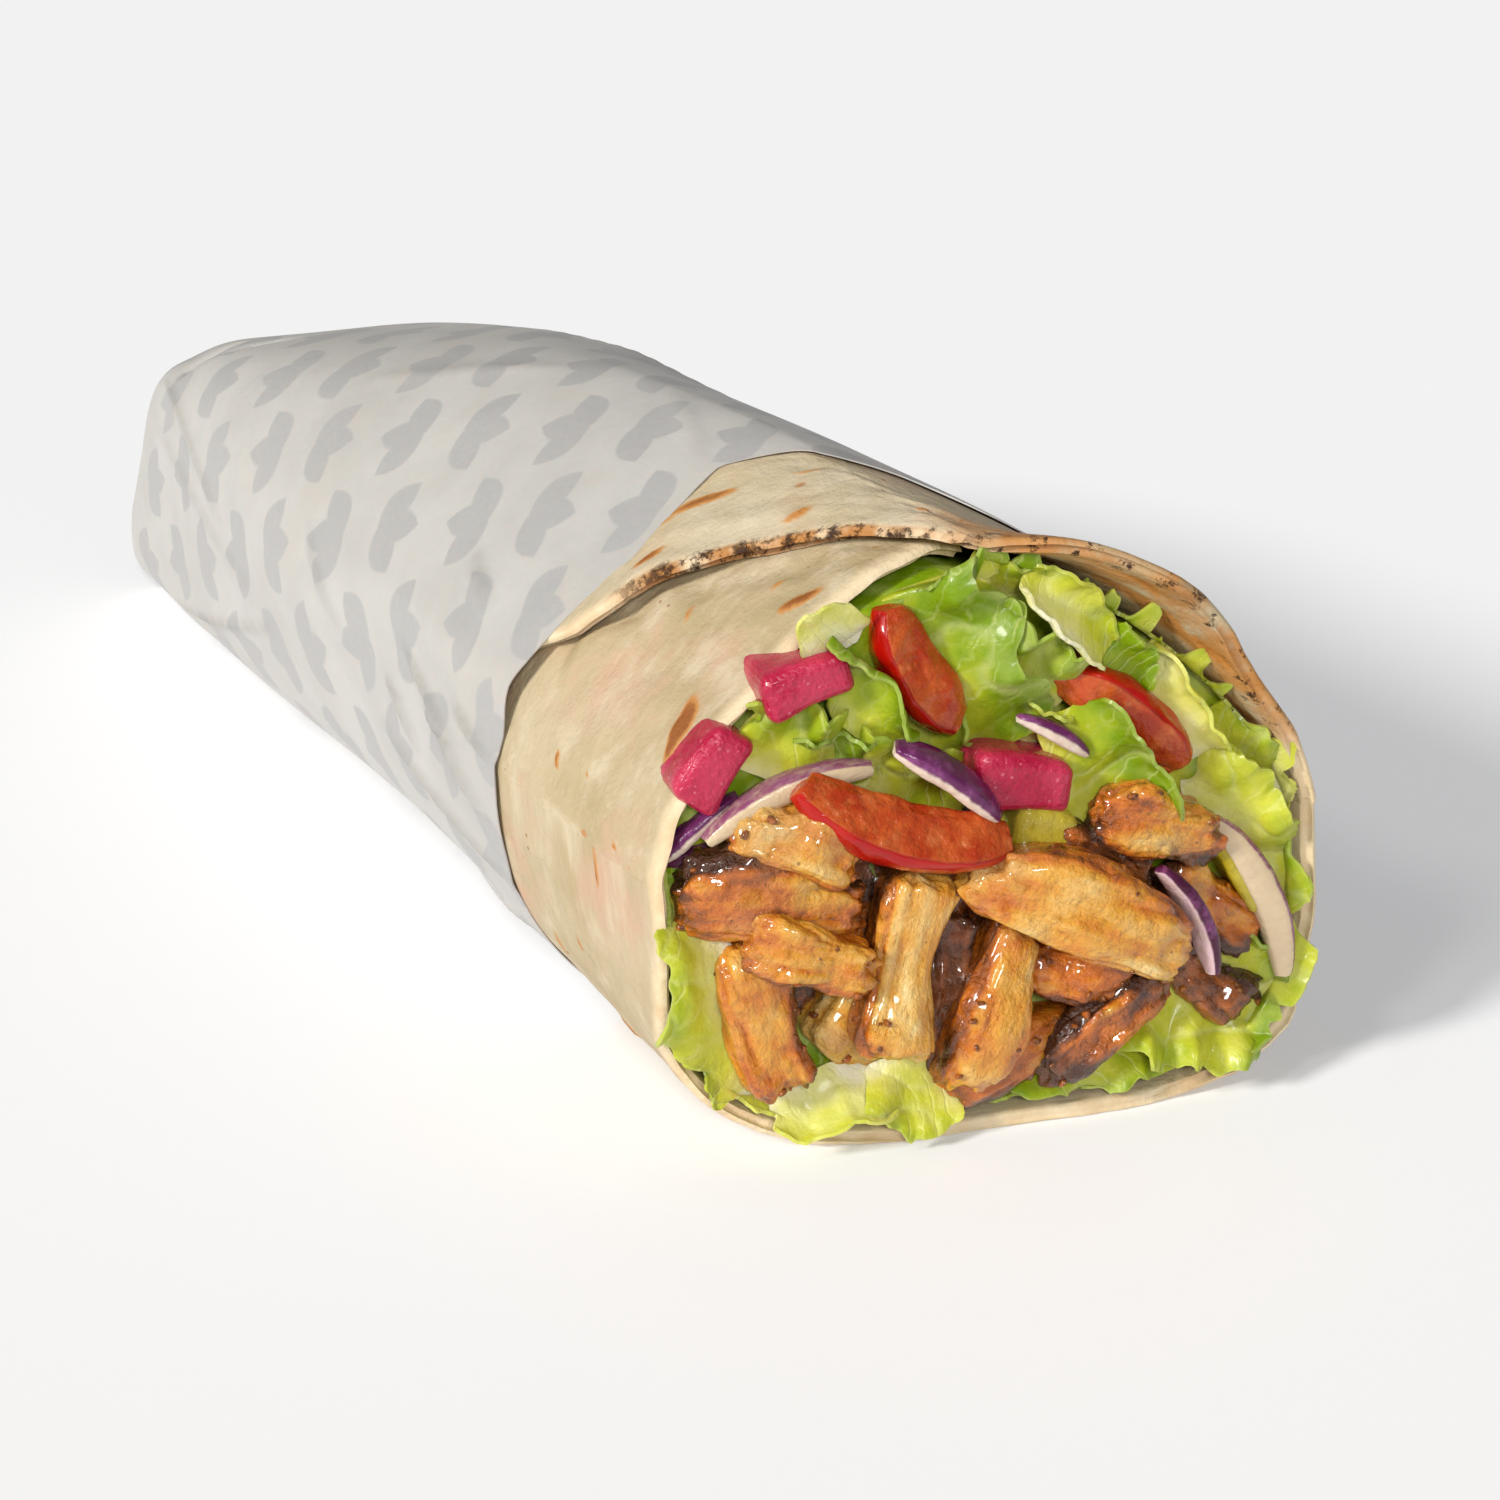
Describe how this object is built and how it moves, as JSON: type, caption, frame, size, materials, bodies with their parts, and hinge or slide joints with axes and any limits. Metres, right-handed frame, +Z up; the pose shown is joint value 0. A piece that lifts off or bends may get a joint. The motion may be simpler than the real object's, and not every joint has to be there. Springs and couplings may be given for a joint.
{
  "type": "meat wrap",
  "caption": "Meat wrap: a rolled flatbread filled with grilled chicken strips, lettuce, tomato, red onion and pickles, with patterned paper folded round its rear part.",
  "frame": {"origin": "on the table, under the middle of the whole wrap's box", "axes": "+Z up, +Y along the roll from its open mouth to its folded tail, +X to the right seen from in front of the mouth"},
  "size_m": [0.0861, 0.2312, 0.0789],
  "materials": {
    "flatbread": "soft, lightly toasted flatbread",
    "paper": "thin waxed food paper with a pale grey print",
    "chicken": "moist grilled chicken with browned ends",
    "lettuce": "crisp pale green lettuce",
    "tomato": "wet tomato",
    "onion": "translucent red onion",
    "turnip": "wet pink pickled turnip",
    "cucumber": "wet olive pickled cucumber"
  },
  "bodies": {
    "root": {"flatbread": "flatbread", "paper": "paper", "chicken": "chicken", "lettuce": "lettuce", "tomato_1": "tomato", "tomato_2": "tomato", "tomato_3": "tomato", "tomato_4": "tomato", "onion_1": "onion", "onion_2": "onion", "onion_3": "onion", "onion_4": "onion", "onion_5": "onion", "onion_6": "onion", "onion_7": "onion", "turnip_1": "turnip", "turnip_2": "turnip", "turnip_3": "turnip", "cucumber_1": "cucumber", "cucumber_2": "cucumber"}
  },
  "joints": []
}
